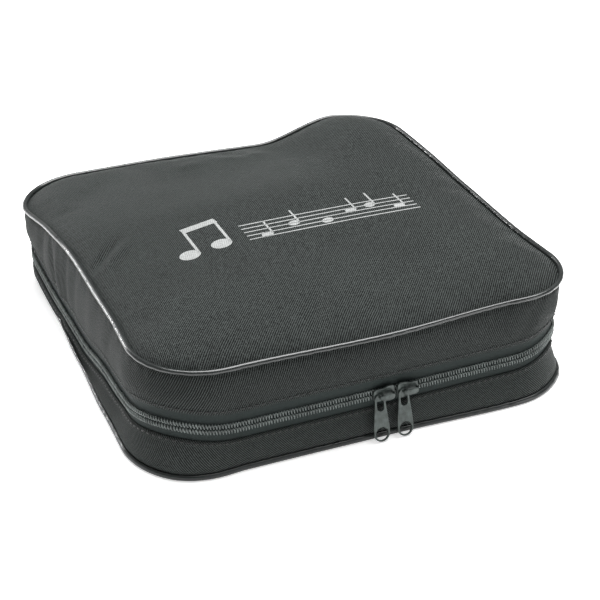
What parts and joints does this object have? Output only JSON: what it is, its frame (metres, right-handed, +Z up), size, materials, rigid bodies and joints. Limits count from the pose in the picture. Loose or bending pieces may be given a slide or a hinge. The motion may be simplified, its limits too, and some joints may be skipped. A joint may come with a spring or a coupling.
{
  "type": "zipped carrying case",
  "caption": "Square padded fabric carrying case with piped edges, a crowned lid hinged along the back, and a two-slider coil zip with metal pull tabs.",
  "frame": {"origin": "the middle of the case's underside, on the surface that it rests on", "axes": "+X to the case's right as seen from the sliders, +Y from the sliders to the hinge at the back, +Z up"},
  "size_m": [0.3434, 0.3709, 0.093],
  "materials": {
    "fabric": "matte",
    "lining": "matte",
    "foam": "matte",
    "tape": "matte",
    "coil": "satin",
    "piping": "satin",
    "slider": "satin"
  },
  "bodies": {
    "base": {"base_panel": "fabric", "base_piping": "piping", "base_foam": "foam", "base_lining": "lining", "base_binding": "tape", "lower_band": "fabric", "lower_wall_foam": "foam", "lower_wall_lining": "lining", "hinge_panel_lower": "fabric", "hinge_lining_lower": "lining", "lower_zip_tape": "tape", "lower_zip_coil": "coil"},
    "lid": {"lid_panel": "fabric", "lid_piping": "piping", "lid_foam": "foam", "lid_lining": "lining", "lid_binding": "tape", "upper_band": "fabric", "upper_wall_foam": "foam", "upper_wall_lining": "lining", "hinge_panel_upper": "fabric", "hinge_lining_upper": "lining", "upper_zip_tape": "tape", "upper_zip_coil": "coil"},
    "left_slider": {"slider_left": "slider"},
    "left_pull": {"pull_left": "slider"},
    "right_slider": {"slider_right": "slider"},
    "right_pull": {"pull_right": "slider"}
  },
  "joints": [
    {"name": "lid_open", "type": "hinge", "parent": "base", "child": "lid", "pos_m": [0, 0.181, 0.036], "axis": [-1, 0, 0], "range_deg": [0, 130]},
    {"name": "left_slider_slide", "type": "slide", "parent": "base", "child": "left_slider", "axis": [1, 0, 0], "range_m": [-0.105, 0]},
    {"name": "left_pull_swing", "type": "hinge", "parent": "left_slider", "child": "left_pull", "pos_m": [-0.0025, -0.18525, 0.036], "axis": [0, 1, 0], "range_deg": [-3, 100]},
    {"name": "right_slider_slide", "type": "slide", "parent": "base", "child": "right_slider", "axis": [1, 0, 0], "range_m": [0, 0.083]},
    {"name": "right_pull_swing", "type": "hinge", "parent": "right_slider", "child": "right_pull", "pos_m": [0.0165, -0.18525, 0.036], "axis": [0, 1, 0], "range_deg": [-35, 3]}
  ]
}
